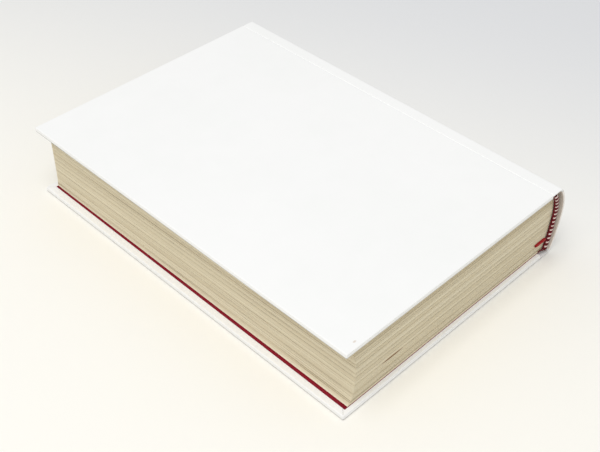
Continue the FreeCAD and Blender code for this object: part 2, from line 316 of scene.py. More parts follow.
class Effects:
    """The shader groups that several finishes use."""

    def __init__(self) -> None:
        """Builds every group once."""
        self.fibres = make_group(
            "paper_fibres",
            [("Position", VECTOR, None), ("Fibre Size", FLOAT, 0.4 * MM), ("Cloudiness", FLOAT, 0.5)],
            [("Height", FLOAT), ("Cloud", FLOAT)], self.build_fibres)
        self.weave = make_group(
            "woven_threads",
            [("Position", VECTOR, None), ("Thread Pitch", FLOAT, 0.3 * MM), ("Openness", FLOAT, 0.3)],
            [("Height", FLOAT), ("Gap", FLOAT)], self.build_weave)
        self.soil = make_group(
            "soft_soil",
            [("Position", VECTOR, None), ("Clean", COLOR, (1, 1, 1, 1)), ("Soiled", COLOR, (1, 1, 1, 1)),
             ("Patch Size", FLOAT, 20 * MM), ("Amount", FLOAT, 0.3)],
            [("Color", COLOR)], self.build_soil)
        self.spot = make_group(
            "oval_spot",
            [("Position", VECTOR, None), ("Centre", VECTOR, None), ("Reach", VECTOR, None),
             ("Raggedness", FLOAT, 0.3)],
            [("Mask", FLOAT)], self.build_spot)

    @staticmethod
    def build_fibres(tree: NodeTree, given: bpy.types.Node, result: bpy.types.Node) -> None:
        """Short tangled fibres with a soft cloudiness, as in any paper.

        Args:
            tree: The group's nodes.
            given: Its input node.
            result: Its output node.
        """
        scale = tree.maths("DIVIDE", 1.0, given.outputs["Fibre Size"])
        fine = tree.noise(given.outputs["Position"], scale, 4.0, 0.65)
        long_scale = tree.maths("MULTIPLY", scale, 0.35)
        strands = tree.add("ShaderNodeTexVoronoi", {
            "Vector": tree.stretch(given.outputs["Position"], 1.0, 0.45, 1.0), "Scale": long_scale},
            feature="DISTANCE_TO_EDGE").outputs["Distance"]
        strand_height = tree.remap(strands, 0.0, 0.12)
        height = tree.maths("MULTIPLY_ADD", strand_height, 0.25, fine)
        tree.tree.links.new(height, result.inputs["Height"])
        cloud = tree.noise(given.outputs["Position"], tree.maths("MULTIPLY", scale, 0.03), 2.0)
        level = tree.maths("MULTIPLY", tree.maths("SUBTRACT", cloud, 0.5), given.outputs["Cloudiness"])
        tree.tree.links.new(tree.maths("ADD", level, 0.5), result.inputs["Cloud"])

    @staticmethod
    def build_weave(tree: NodeTree, given: bpy.types.Node, result: bpy.types.Node) -> None:
        """Threads that cross over and under each other, with holes between them.

        Args:
            tree: The group's nodes.
            given: Its input node.
            result: Its output node.
        """
        parts = tree.split(given.outputs["Position"])
        turns = tree.maths("DIVIDE", math.pi, given.outputs["Thread Pitch"])
        waves = []
        for axis in ("X", "Y"):
            waves.append(tree.maths("SINE", tree.maths("MULTIPLY", parts.outputs[axis], turns)))
        crowns = [tree.maths("ABSOLUTE", wave) for wave in waves]
        height = tree.maths("MULTIPLY_ADD", tree.maths("MULTIPLY", waves[0], waves[1]), 0.3,
                            tree.maths("MAXIMUM", crowns[0], crowns[1]))
        tree.tree.links.new(height, result.inputs["Height"])
        open_level = tree.maths("MULTIPLY", given.outputs["Openness"], 2.0)
        gap = tree.maths("LESS_THAN", tree.maths("MAXIMUM", crowns[0], crowns[1]), open_level)
        tree.tree.links.new(gap, result.inputs["Gap"])

    @staticmethod
    def build_soil(tree: NodeTree, given: bpy.types.Node, result: bpy.types.Node) -> None:
        """A colour that drifts a little towards another one, in soft patches.

        Args:
            tree: The group's nodes.
            given: Its input node.
            result: Its output node.
        """
        scale = tree.maths("DIVIDE", 1.0, given.outputs["Patch Size"])
        patches = tree.remap(tree.noise(given.outputs["Position"], scale, 4.0, 0.6), 0.35, 0.75)
        factor = tree.maths("MULTIPLY", patches, given.outputs["Amount"])
        mixed = tree.mix(factor, given.outputs["Clean"], given.outputs["Soiled"])
        tree.tree.links.new(mixed, result.inputs["Color"])

    @staticmethod
    def build_spot(tree: NodeTree, given: bpy.types.Node, result: bpy.types.Node) -> None:
        """A ragged oval mark at one place.

        Args:
            tree: The group's nodes.
            given: Its input node.
            result: Its output node.
        """
        away = tree.add("ShaderNodeVectorMath", {
            0: given.outputs["Position"], 1: given.outputs["Centre"]}, operation="SUBTRACT").outputs[0]
        shares = tree.add("ShaderNodeVectorMath", {0: away, 1: given.outputs["Reach"]}, operation="DIVIDE")
        reach = tree.add("ShaderNodeVectorMath", {0: shares.outputs[0]}, operation="LENGTH").outputs["Value"]
        ragged = tree.maths("SUBTRACT", tree.noise(given.outputs["Position"], 2500.0, 3.0), 0.5)
        edge = tree.maths("MULTIPLY_ADD", ragged, given.outputs["Raggedness"], reach)
        tree.tree.links.new(tree.remap(edge, 1.0, 0.4), result.inputs["Mask"])


EFFECTS = Effects()
REST_NAME = "rest_place"
TONE_NAME = "page_tone"
CLOTH_NAME = "cloth_place"


@dataclass(frozen=True)
class Finish:
    """Base of every finish: a Principled shader with its own colour, roughness and normal."""

    name: str
    roughness: float = 0.6
    specular: float = 0.4
    sheen: float = 0.0
    place: str = ""

    def make(self) -> bpy.types.Material:
        """Builds the material.

        Returns:
            The finished material.
        """
        material = bpy.data.materials.new(self.name)
        material.use_nodes = True
        material.node_tree.nodes.clear()
        tree = NodeTree(material.node_tree)
        shader = tree.add("ShaderNodeBsdfPrincipled", {
            "Roughness": self.roughness, "Specular IOR Level": self.specular, "Sheen Weight": self.sheen})
        position = self.position(tree)
        color, height, depth = self.surface(tree, position)
        tree.tree.links.new(color, shader.inputs["Base Color"])
        bump = tree.add("ShaderNodeBump", {"Height": height, "Strength": 1.0, "Distance": depth})
        tree.tree.links.new(bump.outputs[0], shader.inputs["Normal"])
        output = tree.add("ShaderNodeOutputMaterial")
        tree.tree.links.new(shader.outputs[0], output.inputs["Surface"])
        return material

    def position(self, tree: NodeTree) -> bpy.types.NodeSocket:
        """Where a point of the surface is at rest.

        Args:
            tree: The material's nodes.

        Returns:
            The piece's own attribute where the finish names one, or else its coordinates.
        """
        if self.place:
            return tree.add("ShaderNodeAttribute", attribute_name=self.place).outputs["Vector"]
        return tree.add("ShaderNodeTexCoord").outputs["Object"]

    def surface(self, tree: NodeTree, position: bpy.types.NodeSocket) -> tuple:
        """Colour socket, height socket and depth of the relief in metres.

        Args:
            tree: The material's nodes.
            position: Where the point is.

        Returns:
            The colour, the height and its depth.
        """
        raise NotImplementedError


@dataclass(frozen=True)
class PaperFinish(Finish):
    """Paper or card with fibres, a soft cloudiness and a second colour that it drifts to."""

    color: tuple = (1, 1, 1, 1)
    soiled: tuple = (1, 1, 1, 1)
    soil_amount: float = 0.4
    patch_size: float = 25 * MM
    fibre_size: float = 0.35 * MM
    relief: float = 0.02 * MM

    def surface(self, tree: NodeTree, position: bpy.types.NodeSocket) -> tuple:
        """Soiled base colour with a fibrous relief.

        Args:
            tree: The material's nodes.
            position: Where the point is.

        Returns:
            The colour, the height and its depth.
        """
        soil = tree.add("ShaderNodeGroup", {
            "Position": position, "Clean": self.color, "Soiled": self.soiled,
            "Patch Size": self.patch_size, "Amount": self.soil_amount}, node_tree=EFFECTS.soil)
        fibres = tree.add("ShaderNodeGroup", {
            "Position": position, "Fibre Size": self.fibre_size}, node_tree=EFFECTS.fibres)
        shade = tree.remap(fibres.outputs["Cloud"], 0.2, 0.8, 0.985, 1.0)
        color = tree.mix(1.0, soil.outputs["Color"], self.grey(tree, shade), "MULTIPLY")
        return color, fibres.outputs["Height"], self.relief

    @staticmethod
    def grey(tree: NodeTree, value: bpy.types.NodeSocket) -> bpy.types.NodeSocket:
        """A value as a grey colour."""
        return tree.add("ShaderNodeCombineColor", {0: value, 1: value, 2: value}).outputs[0]


@dataclass(frozen=True)
class CoveringFinish(PaperFinish):
    """White covering paper with one small speck, a painted shadow along the lower edges and painted warm
    shade on the inside of the spine.
    """

    speck: tuple = (1, 1, 1, 1)
    speck_centre: tuple = (0, 0, 0)
    speck_reach: tuple = (1.2 * MM, 0.7 * MM, 3 * MM)
    speck_amount: float = 0.4
    # Grey and strength of the painted shadow along the covers' lower outer edges.
    edge_shadow: tuple = (1, 1, 1, 1)
    edge_shadow_amount: float = 0.8
    edge_x: float = 0.0
    edge_y: float = 0.0
    cover_thick: float = 0.0
    book_thick: float = 0.0
    # Colour and reach of the painted warm shade on the inside of the spine.
    painted_shade: tuple = (1, 1, 1, 1)
    painted_shade_amount: float = 0.85
    painted_shade_x: float = 0.0
    painted_shade_margin: float = 2.2 * MM

    def surface(self, tree: NodeTree, position: bpy.types.NodeSocket) -> tuple:
        """Paper with its speck, a painted shadow along its lower edges and painted warm shade on the inside
        of the spine.

        Args:
            tree: The material's nodes.
            position: Where the point is.

        Returns:
            The colour, the height and its depth.
        """
        color, height, depth = super().surface(tree, position)
        spot = tree.add("ShaderNodeGroup", {
            "Position": position, "Centre": self.speck_centre, "Reach": self.speck_reach},
            node_tree=EFFECTS.spot)
        factor = tree.maths("MULTIPLY", spot.outputs["Mask"], self.speck_amount)
        color = tree.mix(factor, color, self.speck)
        # Painted shadow along the lower outer edge of each cover, a contact shadow on the back cover.
        color = tree.mix(self.edge_shadow_mask(tree, position), color, self.edge_shadow)
        # Painted warm shade on the inside of the spine, standing in for shade and the light thrown back from
        # the pages.
        return tree.mix(self.spine_inside_shade(tree, position), color, self.painted_shade), height, depth

    def edge_shadow_mask(self, tree: NodeTree, position: bpy.types.NodeSocket) -> bpy.types.NodeSocket:
        """Mask of the rounding along the lower outer edge of each cover, where a shadow is painted.

        Args:
            tree: The material's nodes.
            position: Where the point is.

        Returns:
            The mask.
        """
        parts = tree.split(position)
        from_side = tree.maths("SUBTRACT", self.edge_x, parts.outputs["X"])
        from_end = tree.maths("SUBTRACT", self.edge_y, tree.maths("ABSOLUTE", parts.outputs["Y"]))
        near_edge = tree.remap(tree.maths("MINIMUM", from_side, from_end), 0.5 * MM, 0.2 * MM)
        height = tree.maths("MODULO", parts.outputs["Z"], self.book_thick - self.cover_thick)
        low = tree.remap(height, 0.95 * MM, 0.4 * MM, 0.0, self.edge_shadow_amount)
        return tree.maths("MULTIPLY", near_edge, low)

    def spine_inside_shade(self, tree: NodeTree, position: bpy.types.NodeSocket) -> bpy.types.NodeSocket:
        """Mask of the spine's faces that look at the pages, where a warm shade is painted: shade with light
        thrown back from the cream pages.

        Args:
            tree: The material's nodes.
            position: Where the point is.

        Returns:
            The mask.
        """
        parts = tree.split(position)
        behind = tree.remap(parts.outputs["X"], self.painted_shade_x, self.painted_shade_x - 1.5 * MM, 0.0, self.painted_shade_amount)
        facing = tree.split(tree.add("ShaderNodeNewGeometry").outputs["Normal"]).outputs["X"]
        inner = tree.maths("MULTIPLY", behind, tree.remap(facing, -0.3, 0.3))
        half = self.book_thick / 2
        from_middle = tree.maths("ABSOLUTE", tree.maths("SUBTRACT", parts.outputs["Z"], half))
        reach = half - self.painted_shade_margin
        return tree.maths("MULTIPLY", inner, tree.remap(from_middle, reach, reach - 0.3 * MM))


@dataclass(frozen=True)
class PageEdgeFinish(Finish):
    """Trimmed page edges: thin lines that come and go, painted shade in the creases and under the front
    cover, and one brown streak.
    """

    light: tuple = (1, 1, 1, 1)
    deep: tuple = (1, 1, 1, 1)
    # Colour of the painted shade in the creases between leaves and sections.
    crease_shade: tuple = (1, 1, 1, 1)
    stain: tuple = (1, 1, 1, 1)
    # Colour and heights of the painted shade near the top of the page edges, under the front cover's
    # overhang.
    painted_shade: tuple = (1, 1, 1, 1)
    painted_shade_from: float = 28 * MM
    painted_shade_to: float = 38 * MM
    stain_centre: tuple = (0, 0, 0)
    stain_reach: tuple = (9 * MM, 3 * MM, 0.8 * MM)
    stain_amount: float = 0.8
    relief: float = 0.01 * MM

    def surface(self, tree: NodeTree, position: bpy.types.NodeSocket) -> tuple:
        """Lines in the plane of the leaves, with the tone of each leaf, painted shade in the creases between
        them and painted shade near the top, under the front cover.

        Args:
            tree: The material's nodes.
            position: Where the point is.

        Returns:
            The colour, the height and its depth.
        """
        tone = tree.add("ShaderNodeAttribute", attribute_name=TONE_NAME).outputs["Fac"]
        drift = tree.noise(tree.stretch(position, 14.0, 14.0, 240.0), 1.0, 2.0)
        fade = tree.remap(drift, 0.35, 0.65, 0.45, 1.25)
        wide = tree.noise(tree.stretch(position, 2.0, 2.0, 300.0), 1.0, 2.0, 0.5)
        fine = tree.noise(tree.stretch(position, 12.0, 12.0, 4200.0), 1.0, 1.0, 0.5)
        level = tree.maths("MULTIPLY_ADD", tree.maths("SUBTRACT", tone, 0.5), fade, 0.5)
        level = tree.maths("MULTIPLY_ADD", tree.maths("SUBTRACT", wide, 0.5), 0.6, level)
        level = tree.maths("MULTIPLY_ADD", tree.maths("SUBTRACT", fine, 0.5), 0.35, level)
        color = tree.mix(tree.remap(level, 0.15, 0.8), self.deep, self.light)
        # Painted shade: the lines of the creases between leaves and sections take a dark colour, standing in
        # for the shade in the creases.
        crease_shading = tree.remap(level, 0.2, -0.15)
        color = tree.mix(crease_shading, color, self.crease_shade)
        # Painted shade: the page edges darken towards the top, standing in for the shadow under the front
        # cover's overhang.
        top_shade = tree.remap(tree.split(position).outputs["Z"], self.painted_shade_from, self.painted_shade_to)
        color = tree.mix(top_shade, color, self.painted_shade, "MULTIPLY")
        spot = tree.add("ShaderNodeGroup", {
            "Position": position, "Centre": self.stain_centre, "Reach": self.stain_reach},
            node_tree=EFFECTS.spot)
        factor = tree.maths("MULTIPLY", spot.outputs["Mask"], self.stain_amount)
        return tree.mix(factor, color, self.stain), fine, self.relief


@dataclass(frozen=True)
class ClothFinish(Finish):
    """Threads woven over and under each other, in one colour, with a deeper one painted as shade in the
    hollows and gaps between them.
    """

    color: tuple = (1, 1, 1, 1)
    deep: tuple = (0, 0, 0, 1)
    thread_pitch: float = 0.3 * MM
    openness: float = 0.2
    relief: float = 0.08 * MM

    def surface(self, tree: NodeTree, position: bpy.types.NodeSocket) -> tuple:
        """Woven colour and relief.

        Args:
            tree: The material's nodes.
            position: Where the point is.

        Returns:
            The colour, the height and its depth.
        """
        weave = tree.add("ShaderNodeGroup", {
            "Position": position, "Thread Pitch": self.thread_pitch, "Openness": self.openness},
            node_tree=EFFECTS.weave)
        # Painted shade: the crowns of the threads take the lit colour, the hollows and the gaps between them
        # the deeper one.
        lit = tree.remap(weave.outputs["Height"], 0.3, 1.1)
        color = tree.mix(lit, self.deep, self.color)
        color = tree.mix(weave.outputs["Gap"], color, self.deep)
        return color, weave.outputs["Height"], self.relief


@dataclass(frozen=True)
class ThreadFinish(Finish):
    """Silk thread: fine twisted strands along the thread."""

    color: tuple = (1, 1, 1, 1)
    deep: tuple = (0, 0, 0, 1)
    strand: float = 0.09 * MM
    relief: float = 0.04 * MM

    def surface(self, tree: NodeTree, position: bpy.types.NodeSocket) -> tuple:
        """Strands and a slight change of tone.

        Args:
            tree: The material's nodes.
            position: Where the point is.

        Returns:
            The colour, the height and its depth.
        """
        strands = tree.noise(tree.stretch(position, 1.0, 1.0, 1.8), 1 / self.strand, 2.0)
        patches = tree.noise(position, 900.0, 2.0)
        level = tree.maths("MULTIPLY_ADD", patches, 0.5, tree.maths("MULTIPLY", strands, 0.5))
        return tree.mix(tree.remap(level, 0.3, 0.7), self.deep, self.color), strands, self.relief


@dataclass(frozen=True)
class FloorFinish(Finish):
    """Pale table with a painted falloff of light: a warm white near the viewer that turns to a cool grey
    further off.
    """

    near: tuple = (1, 1, 1, 1)
    far: tuple = (1, 1, 1, 1)
    toward: tuple = (0.94, 0.35, 0)
    near_at: float = 0.09
    far_at: float = -0.29
    relief: float = 0.01 * MM

    def surface(self, tree: NodeTree, position: bpy.types.NodeSocket) -> tuple:
        """A slow change of colour along the view: painted light falloff.

        Args:
            tree: The material's nodes.
            position: Where the point is.

        Returns:
            The colour, the height and its depth.
        """
        # Painted light falloff: brighter and warmer near the viewer, greyer further off.
        along = tree.add("ShaderNodeVectorMath", {0: position, 1: self.toward}, operation="DOT_PRODUCT")
        share = tree.remap(along.outputs["Value"], self.near_at, self.far_at)
        return tree.mix(share, self.near, self.far), tree.noise(position, 60.0), self.relief


class Palette:
    """Every finish of the book and its table, made once."""

    def __init__(self, plan: Plan) -> None:
        """Makes the materials.

        Args:
            plan: The book's edges, where some finishes change.
        """
        covering = dict(
            color=linear(250, 250, 249), soiled=linear(246, 247, 245), soil_amount=0.5, patch_size=60 * MM,
            fibre_size=0.3 * MM, relief=0.006 * MM, speck=linear(190, 160, 120),
            # Grey of the painted shadow along the covers' lower outer edges.
            edge_shadow=linear(176, 174, 170), edge_x=plan.book_high.x, edge_y=plan.book_high.y,
            cover_thick=2.7 * MM, book_thick=plan.book_high.z,
            # Painted warm shade on the inside of the spine, behind the hinge.
            painted_shade=linear(238, 224, 208), painted_shade_x=plan.hinge_x - 1.5 * MM,
            speck_centre=(70.45 * MM, 105.1 * MM, 41.5 * MM))
        self.covering = CoveringFinish("white_covering_paper", roughness=0.48, specular=0.35,
                                       place=REST_NAME, **covering).make()
        self.endpaper = PaperFinish(
            "red_endpaper", roughness=0.75, specular=0.25, place=REST_NAME, color=linear(140, 14, 34),
            soiled=linear(118, 12, 30), fibre_size=0.5 * MM, relief=0.02 * MM).make()
        self.pages = PageEdgeFinish(
            "page_edges", roughness=0.85, specular=0.15, light=linear(238, 229, 204),
            # The crease colour is painted shade in the creases between leaves.
            deep=linear(212, 199, 169), crease_shade=linear(140, 125, 96), stain=linear(134, 84, 34),
            # Painted shade near the top of the page edges, under the front cover.
            painted_shade=(0.82, 0.78, 0.71, 1),
            stain_centre=(44.95 * MM, 105.8 * MM, 13.5 * MM)).make()
        self.board = PaperFinish(
            "grey_board", roughness=0.9, specular=0.15, color=linear(168, 161, 149),
            soiled=linear(146, 138, 124), patch_size=4 * MM, fibre_size=0.9 * MM, relief=0.08 * MM).make()
        self.card = PaperFinish(
            "spine_card", roughness=0.85, specular=0.2, color=linear(190, 177, 155),
            soiled=linear(172, 158, 136), patch_size=8 * MM, relief=0.04 * MM).make()
        self.lining = PaperFinish(
            "brown_lining_paper", roughness=0.85, specular=0.2, color=linear(176, 148, 112),
            soiled=linear(156, 127, 92), patch_size=6 * MM, fibre_size=0.7 * MM, relief=0.07 * MM).make()
        self.mull = ClothFinish(
            "binding_gauze", roughness=0.9, specular=0.15, color=linear(228, 222, 204),
            deep=linear(150, 138, 112), thread_pitch=0.9 * MM, openness=0.25).make()
        self.red_silk = ThreadFinish(
            "dark_red_silk", roughness=0.55, specular=0.25, sheen=0.05, color=linear(128, 7, 24),
            deep=linear(72, 3, 11)).make()
        self.white_silk = ThreadFinish(
            "white_silk", roughness=0.5, specular=0.3, sheen=0.1, color=linear(252, 243, 236),
            deep=linear(234, 208, 198)).make()
        self.ribbon = ClothFinish(
            "red_ribbon_satin", roughness=0.45, specular=0.3, sheen=0.1, place=CLOTH_NAME,
            color=linear(180, 8, 16), deep=linear(132, 3, 10), thread_pitch=0.22 * MM,
            openness=0.02, relief=0.04 * MM).make()
        # The table's near and far colours paint the falloff of the light across it.
        self.floor = FloorFinish("pale_table", roughness=0.8, specular=0.2, near=linear(252, 250, 243),
                                 far=linear(227, 228, 230)).make()


def shade(bm: bmesh.types.BMesh, smooth_angle: float) -> None:
    """Smooths the faces, with sharp edges where they turn and round each level face.

    Args:
        bm: The mesh.
        smooth_angle: Edges sharper than this stay sharp, in degrees.
    """
    bm.normal_update()
    for face in bm.faces:
        face.smooth = True
    for edge in bm.edges:
        if len(edge.link_faces) == 2:
            first, second = (abs(face.normal.z) > LEVEL for face in edge.link_faces)
            turn = edge.calc_face_angle(0.0)
            edge.smooth = turn < math.radians(smooth_angle) and first == second


def add_piece(name: str, bm: bmesh.types.BMesh, materials: list[bpy.types.Material],
              smooth_angle: float = 40.0) -> bpy.types.Object:
    """Turns a bmesh into a finished object at the origin.

    Args:
        name: Name of the piece.
        bm: Its mesh, freed afterwards.
        materials: Its material slots.
        smooth_angle: Edges sharper than this stay sharp, in degrees.

    Returns:
        The linked object.
    """
    shade(bm, smooth_angle)
    mesh = bpy.data.meshes.new(name)
    bm.to_mesh(mesh)
    bm.free()
    for material in materials:
        mesh.materials.append(material)
    places = mesh.attributes.new(REST_NAME, "FLOAT_VECTOR", "POINT")
    places.data.foreach_set("vector", [part for vertex in mesh.vertices for part in vertex.co])
    piece = bpy.data.objects.new(name, mesh)
    bpy.context.scene.collection.objects.link(piece)
    log.info("%s: %d faces", name, len(mesh.polygons))
    return piece


def grid_sheet(across: int, along: int, place: Callable[[int, int], Vector]) -> bmesh.types.BMesh:
    """Makes a grid and puts each of its points in place.

    Args:
        across: Number of divisions across.
        along: Number of divisions along.
        place: Gives the place of a point from its column and row.

    Returns:
        The placed grid.
    """
    bm = bmesh.new()
    bmesh.ops.create_grid(bm, x_segments=across, y_segments=along, size=1.0)
    for vertex in bm.verts:
        column = round((vertex.co.x + 1) / 2 * across)
        row = round((vertex.co.y + 1) / 2 * along)
        vertex.co = place(column, row)
    return bm


def close(bm: bmesh.types.BMesh) -> None:
    """Closes the open rims of a mesh and turns its faces outwards."""
    bmesh.ops.holes_fill(bm, edges=[e for e in bm.edges if e.is_boundary], sides=0)
    bmesh.ops.recalc_face_normals(bm, faces=bm.faces)


def solidify(piece: bpy.types.Object, thickness: float, offset: float = 0.0) -> None:
    """Gives a sheet its thickness.

    Args:
        piece: The sheet.
        thickness: Thickness in metres.
        offset: Side on which the thickness goes, from -1 to 1.
    """
    modifier = piece.modifiers.new("thickness", "SOLIDIFY")
    modifier.thickness = thickness
    modifier.offset = offset
    modifier.use_even_offset = True


@dataclass
class PageBlock:
    """The trimmed leaves: a closed body whose edge shows every leaf and the creases between sections."""

    plan: Plan
    leaf: float = 0.176 * MM
    section_leaves: int = 12
    crease_depth: float = 0.05 * MM
    section_depth: float = 0.35 * MM
    uneven: float = 0.02 * MM
    wave: float = 0.07 * MM
    proud_leaves: int = 2
    head_steps: int = 28
    fore_steps: int = 40
    spine_steps: int = 3
    seed: int = 11

    def rows(self) -> list[tuple[float, float, float]]:
        """Works out the lines round the block, three to a leaf, from the bottom up.

        Returns:
            Level, inset and tone of each line.
        """
        rng = random.Random(self.seed)
        low, high = self.plan.block_low.z, self.plan.block_high.z
        count = round((high - low) / self.leaf)
        pitch = (high - low) / count
        lines = []
        section_tone = 0.5
        next_section = rng.randint(4, self.section_leaves)
        for leaf in range(count):
            bottom = low + leaf * pitch
            depth = self.crease_depth * rng.uniform(0.3, 1.0)
            # A crease line's tone sits below its leaf's: painted shade in the crease.
            crease_shade_tone = rng.uniform(0.3, 0.5)
            inset = self.uneven * rng.random()
            tone = section_tone + rng.uniform(-0.12, 0.12)
            if leaf == next_section:
                depth = self.section_depth * rng.uniform(0.5, 1.0)
                crease_shade_tone = rng.uniform(-0.5, -0.2)
                inset = depth * rng.uniform(0.3, 0.6)
                tone = rng.uniform(-0.35, 0.05)
                section_tone = rng.uniform(0.45, 0.62)
                next_section += rng.randint(self.section_leaves - 5, self.section_leaves + 3)
            elif rng.random() < 0.14:
                depth = self.section_depth * rng.uniform(0.2, 0.5)
                crease_shade_tone = rng.uniform(-0.2, 0.1)
                tone = rng.uniform(0.1, 0.35)
            elif leaf < self.proud_leaves:
                inset, tone = 0.0, 0.95
            lines.append((bottom, inset + (depth if leaf else 0.0), crease_shade_tone))
            lines.append((bottom + 0.2 * pitch, inset, tone))
            lines.append((bottom + 0.8 * pitch, inset, tone))
        lines.append((high, 0.0, 0.5))
        return lines

    def ring(self) -> list[tuple[float, float, Vector]]:
        """Works out the points of one line round the block.

        Returns:
            Share across, share along and the way out of each point.
        """
        sides = ((self.head_steps, Vector((0, 1, 0)), lambda t: (t, 1.0)),
                 (self.fore_steps, Vector((1, 0, 0)), lambda t: (1.0, 1 - t)),
                 (self.head_steps, Vector((0, -1, 0)), lambda t: (1 - t, 0.0)),
                 (self.spine_steps, Vector((-1, 0, 0)), lambda t: (0.0, t)))
        points = []
        for index, (steps, way, share) in enumerate(sides):
            before = sides[index - 1][1]
            for step in range(steps):
                outward = way if step else way + before
                points.append((*share(step / steps), outward))
        points.append(points[0])
        return points

    def build(self, finish: bpy.types.Material) -> bpy.types.Object:
        """Builds the block from the outline of its CAD solid.

        Args:
            finish: Material of the page edges.

        Returns:
            The piece, riding on the block's body.
        """
        solid = Surface("text_block")
        rows, ring = self.rows(), self.ring()
        low, high = self.plan.block_low, self.plan.block_high
        edge = 0.01 * MM
        spans = []
        for level, _, _ in rows:
            safe = min(max(level, low.z + edge), high.z - edge)
            spans.append((solid.x_at(safe, 1), solid.x_at(safe, -1, low.y + edge),
                          solid.x_at(safe, -1, high.y - edge)))

        def place(column: int, row: int) -> Vector:
            """Puts a point of the grid on the block.

            Args:
                column: Its number round the block.
                row: Its number up the block.

            Returns:
                Where it goes.
            """
            across, along, outward = ring[column]
            level, inset, _ = rows[row]
            spine_x, tail_x, head_x = spans[row]
            fore_x = tail_x + (head_x - tail_x) * along
            x = spine_x + (fore_x - spine_x) * across
            y = low.y + (high.y - low.y) * along
            share = (level - low.z) / (high.z - low.z)
            drift = noise.noise(Vector((x * 9, y * 9, level * 45 + 3)))
            depth = inset * (1 + 0.6 * noise.noise(Vector((x * 12, y * 12, level * 500))))
            lift = self.wave * math.sin(math.pi * share) * drift * 2
            return Vector((x, y, level + lift)) - outward * max(depth, 0.0)

        bm = grid_sheet(len(ring) - 1, len(rows) - 1, place)
        tone_layer = bm.verts.layers.float.new(TONE_NAME)
        bm.verts.ensure_lookup_table()
        columns = len(ring)
        for index, vertex in enumerate(bm.verts):
            vertex[tone_layer] = rows[index // columns][2]
        bmesh.ops.remove_doubles(bm, verts=bm.verts, dist=0.001 * MM)
        close(bm)
        piece = add_piece("page_block", bm, [finish], 25.0)
        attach(piece, BLOCK_BODY)
        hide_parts("text_block")
        return piece


@dataclass
class SpineCovering:
    """White covering over the spine, up to the flat strip behind each joint."""

    plan: Plan
    seam_offset: float = 2.4 * MM

    @property
    def seam_x(self) -> float:
        """X of the hairline seams between the spine's piece and the covers' pieces."""
        return self.plan.hinge_x - self.seam_offset

    def build(self, finish: bpy.types.Material) -> bpy.types.Object:
        """Takes the curved part of the CAD solid.

        Args:
            finish: Material of the covering.

        Returns:
            The piece, riding on the block's body.
        """
        bm = bmesh.new()
        bm.from_mesh(frame["nodes"]["spine_covering"].data)
        bmesh.ops.remove_doubles(bm, verts=bm.verts, dist=0.001 * MM)
        geometry = bm.verts[:] + bm.edges[:] + bm.faces[:]
        bmesh.ops.bisect_plane(bm, geom=geometry, dist=1e-7, plane_co=(self.seam_x, 0, 0),
                               plane_no=(1, 0, 0), clear_outer=True)
        close(bm)
        piece = add_piece("spine_case_covering", bm, [finish], 30.0)
        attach(piece, BLOCK_BODY)
        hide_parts("spine_covering")
        return piece


@dataclass
class CaseCovering:
    """White covering of one cover and its joint, in one sheet cut finely across the joint."""

    plan: Plan
    side: Side
    seam_x: float
    bend_reach: float = 2.0 * MM
    bend_cuts: int = 17
    weld: float = 0.004 * MM

    def build(self, finish: bpy.types.Material) -> bpy.types.Object:
        """Joins the covering's solids on one side into one piece.

        Args:
            finish: Material of the covering.

        Returns:
            The piece.
        """
        bm = bmesh.new()
        for node in (self.side.word + "_covering", "spine_covering"):
            bm.from_mesh(frame["nodes"][node].data)
        bmesh.ops.remove_doubles(bm, verts=bm.verts, dist=self.weld)
        self.drop_spine(bm)
        self.open_joint(bm)
        reach = self.bend_reach * 1.2
        for cut in range(self.bend_cuts):
            x = self.plan.hinge_x - reach + 2 * reach * cut / (self.bend_cuts - 1)
            geometry = bm.verts[:] + bm.edges[:] + bm.faces[:]
            bmesh.ops.bisect_plane(bm, geom=geometry, dist=1e-7, plane_co=(x, 0, 0), plane_no=(1, 0, 0))
        bmesh.ops.recalc_face_normals(bm, faces=bm.faces)
        piece = add_piece(self.side.word + "_case_covering", bm, [finish], 35.0)
        self.side.body
        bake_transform(piece)
        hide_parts(self.side.word + "_covering", "spine_covering")
        return piece

    def drop_spine(self, bm: bmesh.types.BMesh) -> None:
        """Keeps the flat strip behind the joint, and drops the curved spine and the other cover's strip.

        Args:
            bm: Mesh of the cover's and the spine's covering.
        """
        geometry = bm.verts[:] + bm.edges[:] + bm.faces[:]
        bmesh.ops.bisect_plane(bm, geom=geometry, dist=1e-7, plane_co=(self.seam_x, 0, 0),
                               plane_no=(1, 0, 0), clear_inner=True)
        bmesh.ops.holes_fill(bm, edges=[e for e in bm.edges if e.is_boundary], sides=0)
        others = [v for v in bm.verts if (v.co.z > self.plan.middle_z) != (self.side is Side.FRONT)]
        bmesh.ops.delete(bm, geom=others, context="VERTS")

    def open_joint(self, bm: bmesh.types.BMesh) -> None:
        """Takes out the walls on the hinge line, so that cover and spine become one sheet.

        Args:
            bm: Mesh of the cover's covering and its strip of the spine.
        """
        near = 0.002 * MM
        walls = [f for f in bm.faces if all(abs(v.co.x - self.plan.hinge_x) < near for v in f.verts)]
        bmesh.ops.delete(bm, geom=walls, context="FACES")
        bmesh.ops.remove_doubles(bm, verts=bm.verts, dist=self.weld)


